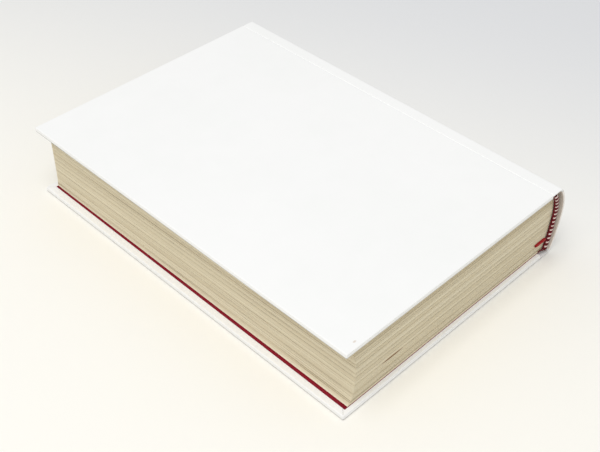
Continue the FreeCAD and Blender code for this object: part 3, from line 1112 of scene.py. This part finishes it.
@dataclass
class Endpaper:
    """One folded red sheet: a leaf that lies on the block, the fold, and the half pasted to the board."""

    plan: Plan
    side: Side
    thickness: float = 0.15 * MM
    leaf_steps: int = 8
    fold_inset: float = 0.45 * MM
    turn_in: float = 15.0 * MM
    covering: float = 0.3 * MM
    slope: float = 0.9 * MM
    clear: float = 0.02 * MM
    askew: tuple = (-0.45 * MM, 0.25 * MM)
    head_overhang: float = 0.12 * MM

    def levels(self) -> tuple[float, float]:
        """Reads the levels of the sheet from the frame.

        Returns:
            Middle levels of the free leaf and of the pasted one, as on the front cover.
        """
        leaf_low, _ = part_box("front_flyleaf")
        pasted_low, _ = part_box("front_pastedown")
        return leaf_low.z + self.thickness / 2, pasted_low.z + self.thickness / 2

    def pressed(self, x: float, y: float) -> float:
        """How far the pasted half is pressed down between the turn-ins at a point.

        Args:
            x: Place across the cover.
            y: Place along the cover.

        Returns:
            The share of the covering's thickness, from 0 to 1.
        """
        board_low, board_high = self.plan.board_low, self.plan.board_high
        inside = (x - board_low.x, board_high.x - self.turn_in - x,
                  y - board_low.y - self.turn_in, board_high.y - self.turn_in - y)
        share = 1.0
        for distance in inside:
            share *= smoothstep(distance / self.slope)
        return share

    def above_mull(self, x: float, y: float) -> float:
        """How far the mull under it holds the pasted half off the board at a point.

        Args:
            x: Place across the cover.
            y: Place along the cover.

        Returns:
            The distance in metres.
        """
        low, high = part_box("front_mull_flange")
        inside = min(high.x - x, y - low.y, high.y - y)
        return smoothstep(1 + inside / self.slope) * (self.plan.board_low.z - low.z + self.clear)

    def path(self) -> list[tuple[float, float]]:
        """Works out the section of the sheet, from the leaf's fore-edge to that of the pasted half.

        Returns:
            X and middle level of each column.
        """
        leaf_z, pasted_z = self.levels()
        fore_x = self.plan.block_high.x
        pasted_low, pasted_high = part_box("front_pastedown")
        turn_x = pasted_low.x + self.fold_inset
        points = [(fore_x + (turn_x - fore_x) * step / self.leaf_steps, leaf_z)
                  for step in range(self.leaf_steps + 1)]
        inner, outer = self.plan.board_low.x, self.plan.board_high.x - self.turn_in
        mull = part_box("front_mull_flange")[1].x
        stops = [pasted_low.x + self.thickness / 2]
        stops += [inner + self.slope * share for share in (0, 0.25, 0.5, 0.75, 1)]
        stops += [inner + (mull - inner) / 2]
        stops += [mull + self.slope * share for share in (0, 0.25, 0.5, 0.75, 1)]
        stops += [mull + (outer - mull) * share / 7 for share in range(1, 7)]
        stops += [outer - self.slope * share for share in (1, 0.75, 0.5, 0.25, 0)]
        stops += [(outer + pasted_high.x) / 2, pasted_high.x]
        return points + [(x, pasted_z) for x in stops]

    def stations(self) -> list[float]:
        """Works out the rows of the sheet, close together where the turn-ins end.

        Returns:
            Y of each row.
        """
        low, high = self.plan.block_low.y, self.plan.block_high.y
        inner, outer = self.plan.board_low.y + self.turn_in, self.plan.board_high.y - self.turn_in
        rows = [low, inner]
        rows += [inner + self.slope * share for share in (0.25, 0.5, 0.75, 1)]
        rows += [inner + (outer - inner) * share / 12 for share in range(1, 12)]
        rows += [outer - self.slope * share for share in (1, 0.75, 0.5, 0.25)]
        return rows + [outer, high]

    def build(self, finish: bpy.types.Material) -> bpy.types.Object:
        """Builds the sheet.

        Args:
            finish: Material of the endpaper.

        Returns:
            The piece.
        """
        path, rows = self.path(), self.stations()
        leaf_z, pasted_z = self.levels()

        def place(column: int, row: int) -> Vector:
            """Puts a point of the grid on the sheet.

            Args:
                column: Its number along the section.
                row: Its number from the tail up.

            Returns:
                Where it goes.
            """
            x, level = path[column]
            y = rows[row]
            if column == len(path) - 1:
                share = (y - rows[0]) / (rows[-1] - rows[0])
                x += self.askew[0] + (self.askew[1] - self.askew[0]) * share
            if column > self.leaf_steps:
                level += self.pressed(x, y) * (self.covering - self.above_mull(x, y))
                y += self.head_overhang if row == len(rows) - 1 else 0.0
            return Vector((x, y, self.plan.mirror_z(level, self.side)))

        bm = grid_sheet(len(path) - 1, len(rows) - 1, place)
        piece = add_piece(self.side.word + "_endpaper", bm, [finish], 60.0)
        start = Vector((0, 0, self.plan.mirror_z(leaf_z, self.side)))
        end = Vector((0, 0, self.plan.mirror_z(pasted_z, self.side)))
        self.side.body
        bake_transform(piece)
        solidify(piece, self.thickness)
        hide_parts(self.side.word + "_flyleaf", self.side.word + "_pastedown")
        return piece


@dataclass
class EndBand:
    """Silk band at one end of the spine: turns of thread round a core, and a braid along its foot."""

    plan: Plan
    end: End
    thread: float = 0.16 * MM
    half_width: float = 1.3 * MM
    half_height: float = 1.04 * MM
    overhang: float = 1.15 * MM
    white_drop: float = 0.12 * MM
    red_turns: int = 5
    white_turns: int = 3
    slant: float = 10.0
    braid_radius: float = 0.72 * MM
    braid_pitch: float = 0.85 * MM
    braid_offset: float = -0.4 * MM
    knot_radius: float = 0.42 * MM
    end_radius: float = 0.3 * MM
    foot_clear: float = 0.7 * MM
    clear: float = 0.25 * MM
    gap: float = 0.02 * MM
    turn_pitch: float = 1.92
    along_step: float = 0.3 * MM
    tape_thickness: float = 0.24 * MM

    def edge_y(self) -> float:
        """Y of the page edge that the band stands on."""
        return self.plan.block_high.y if self.end is End.HEAD else self.plan.block_low.y

    def line(self, offset: float) -> Callable[[float], Vector]:
        """A line beside the rounded spine.

        Args:
            offset: How far inside the block's spine the line runs.

        Returns:
            A function from a height to a point in X and Z.
        """
        spine = Surface("text_block")

        def point(level: float) -> Vector:
            """The line's point at a height."""
            return Vector((spine.x_at(level, 1) + offset, 0, level))

        return point

    def turn(self, bm: bmesh.types.BMesh, centre: Vector, along: Vector, drop: float) -> None:
        """Adds one turn of thread round the core.

        Args:
            bm: Mesh that gets the turn.
            centre: Middle of the turn.
            along: Way the core runs there.
            drop: How much smaller the turn is than the widest one.
        """
        loop = bmesh.ops.create_circle(bm, cap_ends=False, radius=self.thread, segments=7)["verts"]
        bmesh.ops.rotate(bm, verts=loop, cent=(0, 0, 0), matrix=Matrix.Rotation(math.pi / 2, 3, "X"))
        bmesh.ops.translate(bm, verts=loop, vec=(self.half_width - self.thread - drop, 0, 0))
        edges = list({edge for vertex in loop for edge in vertex.link_edges})
        bmesh.ops.spin(bm, geom=loop + edges, cent=(0, 0, 0), axis=(0, 0, 1), dvec=(0, 0, 0),
                       angle=2 * math.pi, steps=16, use_merge=True, use_duplicate=False)
        verts = [vertex for vertex in bm.verts if not vertex.tag]
        tall = self.half_height / self.half_width
        across = Vector((0, 1, 0)).cross(along).normalized()
        place = Matrix((across, Vector((0, 1, 0)), along)).transposed().to_4x4()
        lean = Matrix.Rotation(math.radians(self.slant), 4, "Y")
        scale = Matrix.Diagonal((1, tall, 1, 1))
        bmesh.ops.transform(bm, verts=verts, matrix=Matrix.Translation(centre) @ place @ scale @ lean)
        for vertex in verts:
            vertex.tag = True

    def bead(self, bm: bmesh.types.BMesh, centre: Vector, along: Vector, radius: float,
             length: float) -> None:
        """Adds one slanted stitch of the braid.

        Args:
            bm: Mesh that gets the stitch.
            centre: Middle of the stitch.
            along: Way the stitch points.
            radius: Half its width.
            length: Half its length.
        """
        made = bmesh.ops.create_uvsphere(bm, u_segments=8, v_segments=6, radius=1.0)["verts"]
        turn = along.to_track_quat("Z", "Y").to_matrix().to_4x4()
        size = Matrix.Diagonal((radius, radius, length, 1))
        bmesh.ops.transform(bm, verts=made, matrix=Matrix.Translation(centre) @ turn @ size)

    def build(self, red: bpy.types.Material, white: bpy.types.Material,
              tape: bpy.types.Material) -> list[bpy.types.Object]:
        """Builds the band's threads, core and tape.

        Args:
            red: Dark red silk.
            white: White silk.
            tape: Cloth of the tape on the spine.

        Returns:
            The pieces of the band.
        """
        word = "headband" if self.end is End.HEAD else "tailband"
        outward = self.end.value
        low = self.plan.block_low.z + self.foot_clear
        high = self.plan.block_high.z - self.clear
        y = self.edge_y() + outward * (self.half_height + self.gap)
        middle = self.line(-self.overhang)
        meshes = {"red": bmesh.new(), "white": bmesh.new()}
        pattern = ["red"] * self.red_turns + ["white"] * self.white_turns
        pitch = self.turn_pitch * self.thread
        count = int((high - low - 2 * self.thread) / pitch)
        for index in range(count + 1):
            level = low + self.thread + index * (high - low - 2 * self.thread) / count
            above, below = min(level + self.along_step, high), max(level - self.along_step, low)
            along = (middle(above) - middle(below)).normalized()
            centre = middle(level)
            centre.y = y
            kind = pattern[index % len(pattern)]
            self.turn(meshes[kind], centre, along, self.white_drop if kind == "white" else 0.0)
        self.add_braid(meshes["red"], low, high, outward)
        self.add_knot(meshes["red"], low, outward)
        pieces = []
        for kind, finish in (("red", red), ("white", white)):
            bmesh.ops.recalc_face_normals(meshes[kind], faces=meshes[kind].faces)
            pieces.append(add_piece(f"{word}_{kind}_thread", meshes[kind], [finish], 80.0))
        pieces.append(self.core(word, middle, y, low, high, red))
        pieces.append(self.tape(word, tape))
        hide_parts(word)
        for piece in pieces:
            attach(piece, BLOCK_BODY)
        return pieces

    def add_braid(self, bm: bmesh.types.BMesh, low: float, high: float, outward: int) -> None:
        """Lays the row of stitches along the foot of the band, on the side of the pages.

        Args:
            bm: Mesh that gets the stitches.
            low: Level of the band's foot.
            high: Level of its top.
            outward: 1 at the head, -1 at the tail.
        """
        foot = self.line(self.braid_offset)
        y = self.edge_y() + outward * (self.braid_radius + self.gap)
        count = round((high - low) / self.braid_pitch)
        for index in range(count):
            level = low + (index + 0.5) * (high - low) / count
            centre = foot(level)
            centre.y = y
            lean = Vector((0.35, outward * 0.35, 1.0)).normalized()
            self.bead(bm, centre, lean, self.braid_radius, self.braid_pitch * 0.78)

    def add_knot(self, bm: bmesh.types.BMesh, low: float, outward: int) -> None:
        """Ties the thread off at the lower end: a few crossed loops and a short end.

        Args:
            bm: Mesh that gets the knot.
            low: Level of the band's foot.
            outward: 1 at the head, -1 at the tail.
        """
        foot = self.line(self.half_width - self.overhang)
        base = foot(low + 0.3 * MM)
        base.y = self.edge_y() + outward * 0.55 * MM
        loops = (((0.1, 0.2, 0.1), (1.0, 0.3, 0.5)), ((0.5, 0.35, -0.05), (0.4, 0.8, -0.4)),
                 ((-0.5, 0.6, 0.05), (0.8, -0.4, 0.3)), ((-1.1, 0.7, 0.1), (0.2, 0.3, 1.0)),
                 ((-1.5, 0.45, 0.2), (0.9, 0.3, -0.3)), ((0.9, 0.0, 0.0), (1.0, -0.4, 0.1)),
                 ((1.5, -0.15, -0.1), (1.0, -0.1, -0.15)), ((2.1, -0.2, -0.15), (1.0, 0.05, -0.1)),
                 ((2.7, -0.22, -0.18), (1.0, 0.0, 0.05)))
        for index, (shift, way) in enumerate(loops):
            place = base + mm(shift[0], outward * shift[1], shift[2])
            direction = Vector((way[0], outward * way[1], way[2])).normalized()
            radius = self.knot_radius if index < 5 else self.end_radius
            self.bead(bm, place, direction, radius, 0.62 * MM)

    def core(self, word: str, middle: Callable[[float], Vector], y: float, low: float, high: float,
             finish: bpy.types.Material) -> bpy.types.Object:
        """Makes the cord inside the turns of thread.

        Args:
            word: Name of the band.
            middle: Gives the band's middle line at a height.
            y: Place of that line along the book.
            low: Level of the band's foot.
            high: Level of its top.
            finish: Material of the cord.

        Returns:
            The cord.
        """
        steps = 24
        sides = 12

        def place(column: int, row: int) -> Vector:
            """Puts a point of the grid on the cord.

            Args:
                column: Its number round the cord.
                row: Its number up the cord.

            Returns:
                Where it goes.
            """
            level = low + (high - low) * row / steps
            centre = middle(level)
            angle = 2 * math.pi * column / sides
            wide = self.half_width - 2 * self.thread
            tall = self.half_height - 2 * self.thread
            return centre + Vector((wide * math.cos(angle), y + tall * math.sin(angle), 0))

        bm = grid_sheet(sides, steps, place)
        bmesh.ops.remove_doubles(bm, verts=bm.verts, dist=0.001 * MM)
        close(bm)
        return add_piece(word + "_core", bm, [finish], 60.0)

    def tape(self, word: str, finish: bpy.types.Material) -> bpy.types.Object:
        """Makes the tape that is glued on the spine, between the mull and the end of the pages.

        Args:
            word: Name of the band.
            finish: Cloth of the tape.

        Returns:
            The tape.
        """
        mull_low, mull_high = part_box("spine_mull")
        inner = mull_high.y + 1.0 * MM if self.end is End.HEAD else mull_low.y - 1.0 * MM
        outer = self.edge_y()
        rounding = self.line(-0.125 * MM)
        low, high = self.plan.block_low.z + 0.05 * MM, self.plan.block_high.z - 0.05 * MM
        wide, steps = 4, 24

        def place(column: int, row: int) -> Vector:
            """Puts a point of the grid on the spine.

            Args:
                column: Its number along the book.
                row: Its number up the spine.

            Returns:
                Where it goes.
            """
            point = rounding(low + (high - low) * row / steps)
            point.y = inner + (outer - inner) * column / wide
            return point

        piece = add_piece(word + "_tape", grid_sheet(wide, steps, place), [finish], 60.0)
        solidify(piece, self.tape_thickness)
        return piece


@dataclass
class RibbonMarker:
    """Red marker ribbon: flat between two leaves, with its fold standing up as a small loop at the head."""

    plan: Plan
    thickness: float = 0.25 * MM
    rise: float = 1.25 * MM
    half_loop: float = 0.6 * MM
    sag: float = 0.25 * MM
    band_gap: float = 0.3 * MM
    across_steps: int = 26

    def outline(self, across: float) -> list[Vector]:
        """Points of the fold at one place across the ribbon, in Y and Z from where it leaves the pages.

        Args:
            across: Share of the ribbon's width.

        Returns:
            The points from the lower leg to the upper one.
        """
        edge = (2 * across - 1) ** 6
        rise = self.rise - self.sag * edge
        half = self.half_loop * (1 - 0.35 * edge)
        legs = ((-5.0, 0.15), (-2.5, 0.15), (-0.8, 0.16), (-0.1, 0.3))
        points = [Vector((0, depth * MM, -z * MM)) for depth, z in legs]
        steps = 12
        for step in range(steps + 1):
            angle = math.pi * step / steps
            swell = math.sin(angle) ** 0.75
            points.append(Vector((0, 0.25 * MM + (rise - 0.25 * MM) * swell, -half * math.cos(angle))))
        points += [Vector((0, depth * MM, z * MM)) for depth, z in reversed(legs)]
        return points

    def build(self, finish: bpy.types.Material) -> bpy.types.Object:
        """Builds the ribbon.

        Args:
            finish: Satin of the ribbon.

        Returns:
            The piece, riding on the block's body.
        """
        low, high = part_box("ribbon_marker")
        level = (low.z + high.z) / 2
        inner = low.x + self.band_gap
        head = self.plan.block_high.y
        rows = len(self.outline(0.5))

        def place(column: int, row: int) -> Vector:
            """Puts a point of the grid on the fold.

            Args:
                column: Its number across the ribbon.
                row: Its number along it.

            Returns:
                Where it goes.
            """
            across = column / self.across_steps
            point = self.outline(across)[row]
            return Vector((inner + (high.x - inner) * across, head + point.y, level + point.z))

        bm = grid_sheet(self.across_steps, rows - 1, place)
        cloth = bm.verts.layers.float_vector.new(CLOTH_NAME)
        for index, vertex in enumerate(bm.verts):
            row, column = divmod(index, self.across_steps + 1)
            vertex[cloth] = Vector((column / self.across_steps * (high.x - low.x), row * 0.25 * MM, 0))
        self.add_tail(bm, cloth, low, level, head)
        piece = add_piece("ribbon_marker_fold", bm, [finish], 60.0)
        solidify(piece, self.thickness)
        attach(piece, BLOCK_BODY)
        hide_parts("ribbon_marker")
        return piece

    def add_tail(self, bm: bmesh.types.BMesh, cloth: bmesh.types.BMLayerItem, low: Vector,
                 level: float, head: float) -> None:
        """Runs the lower leg on between the leaves, over the ribbon's whole length.

        Args:
            bm: Mesh of the fold.
            cloth: Layer with each point's place on the flat cloth.
            low: Lower corner of the ribbon's box.
            level: Height of the leaves that hold the ribbon.
            head: Y of the head of the pages.
        """
        end_y = min(vertex.co.y for vertex in bm.verts)
        rim = [edge for edge in bm.edges if edge.is_boundary
               and all(abs(v.co.y - end_y) < 1e-6 and v.co.z < level for v in edge.verts)]
        steps = 12
        length = end_y - low.y
        for _ in range(steps):
            made = bmesh.ops.extrude_edge_only(bm, edges=rim)["geom"]
            verts = [part for part in made if isinstance(part, bmesh.types.BMVert)]
            rim = [part for part in made if isinstance(part, bmesh.types.BMEdge)]
            bmesh.ops.translate(bm, verts=verts, vec=(0, -length / steps, 0))
            for vertex in verts:
                vertex[cloth] = Vector((vertex.co.x - low.x, head - vertex.co.y, 0))


class Studio:
    """Table, light and camera."""

    def __init__(self, plan: Plan) -> None:
        """Keeps the plan of the book.

        Args:
            plan: The book's edges and levels.
        """
        self.plan = plan

    def floor(self, finish: bpy.types.Material) -> bpy.types.Object:
        """Lays the table under the book.

        Args:
            finish: The table's material.

        Returns:
            The table.
        """
        bm = bmesh.new()
        bmesh.ops.create_grid(bm, x_segments=8, y_segments=8, size=4.0)
        bmesh.ops.translate(bm, verts=bm.verts, vec=(0, 0, self.plan.book_low.z - 0.02 * MM))
        table = add_piece("table_top", bm, [finish])
        return table

    def lamp(self, name: str, position: tuple, size: float, power: float, color: tuple) -> None:
        """Hangs a soft lamp that looks at the book.

        Args:
            name: Name of the lamp.
            position: Its place in metres.
            size: Side of its square face.
            power: Watts.
            color: Its colour.
        """
        light = bpy.data.lights.new(name, "AREA")
        light.shape = "SQUARE"
        light.size = size
        light.energy = power
        light.color = color
        lamp = bpy.data.objects.new(name, light)
        lamp.location = position
        lamp.rotation_euler = Vector(position).to_track_quat("Z", "Y").to_euler()
        bpy.context.scene.collection.objects.link(lamp)

    def light(self) -> None:
        """Sets the world and the lamps."""
        world = bpy.data.worlds.new("room")
        world.use_nodes = True
        background = world.node_tree.nodes["Background"]
        background.inputs["Color"].default_value = (0.99, 0.995, 1.0, 1)
        background.inputs["Strength"].default_value = 0.62
        bpy.context.scene.world = world
        self.lamp("softbox", (0.6, 0.18, 1.6), 1.0, 13.4, (1.0, 0.995, 0.985))

    def camera(self) -> None:
        """Places the camera where the photograph was taken from."""
        place = mm(294.95, 292.6, 358.7)
        azimuth, elevation, roll = (math.radians(angle) for angle in (134.33, 41.22, 0.83))
        back = Vector((math.sin(azimuth) * math.cos(elevation),
                       -math.cos(azimuth) * math.cos(elevation), math.sin(elevation)))
        right = Vector((math.cos(azimuth), math.sin(azimuth), 0))
        up = back.cross(right)
        turned_right = right * math.cos(roll) + up * math.sin(roll)
        turned_up = up * math.cos(roll) - right * math.sin(roll)
        lens = bpy.data.cameras.new("camera")
        lens.lens = 63.49
        lens.sensor_width = 36.0
        lens.clip_start = 0.01
        camera = bpy.data.objects.new("camera", lens)
        camera.matrix_world = Matrix.Translation(place) @ Matrix(
            (turned_right, turned_up, back)).transposed().to_4x4()
        bpy.context.scene.collection.objects.link(camera)
        bpy.context.scene.camera = camera


def dress_nodes(palette: Palette) -> None:
    """Gives the CAD nodes that stay their own finishes.

    Args:
        palette: The finishes.
    """
    finishes = {"front_board": palette.board, "back_board": palette.board,
                "front_mull_flange": palette.mull, "back_mull_flange": palette.mull,
                "spine_mull": palette.mull, "spine_lining": palette.lining,
                "spine_stiffener": palette.card}
    for node, finish in finishes.items():
        mesh_object = frame["nodes"][node]
        if not mesh_object.material_slots:
            mesh_object.data.materials.append(finish)
        mesh_object.material_slots[0].material = finish
        log.info("%s: CAD solid with %s", node, finish.name)


def main() -> None:
    """Builds the book's looks round the frame."""
    logging.basicConfig(level=logging.INFO, format="%(name)s %(message)s")
    bpy.context.scene.view_settings.view_transform = "Standard"
    plan = read_plan()
    palette = Palette(plan)
    dress_nodes(palette)
    PageBlock(plan).build(palette.pages)
    spine = SpineCovering(plan)
    spine.build(palette.covering)
    for side in Side:
        CaseCovering(plan, side, spine.seam_x).build(palette.covering)
        Endpaper(plan, side).build(palette.endpaper)
    for end in End:
        EndBand(plan, end).build(palette.red_silk, palette.white_silk, palette.mull)
    RibbonMarker(plan).build(palette.ribbon)
    studio = Studio(plan)
    studio.floor(palette.floor)
    studio.light()
    studio.camera()


if __name__ == "__main__":
    main()
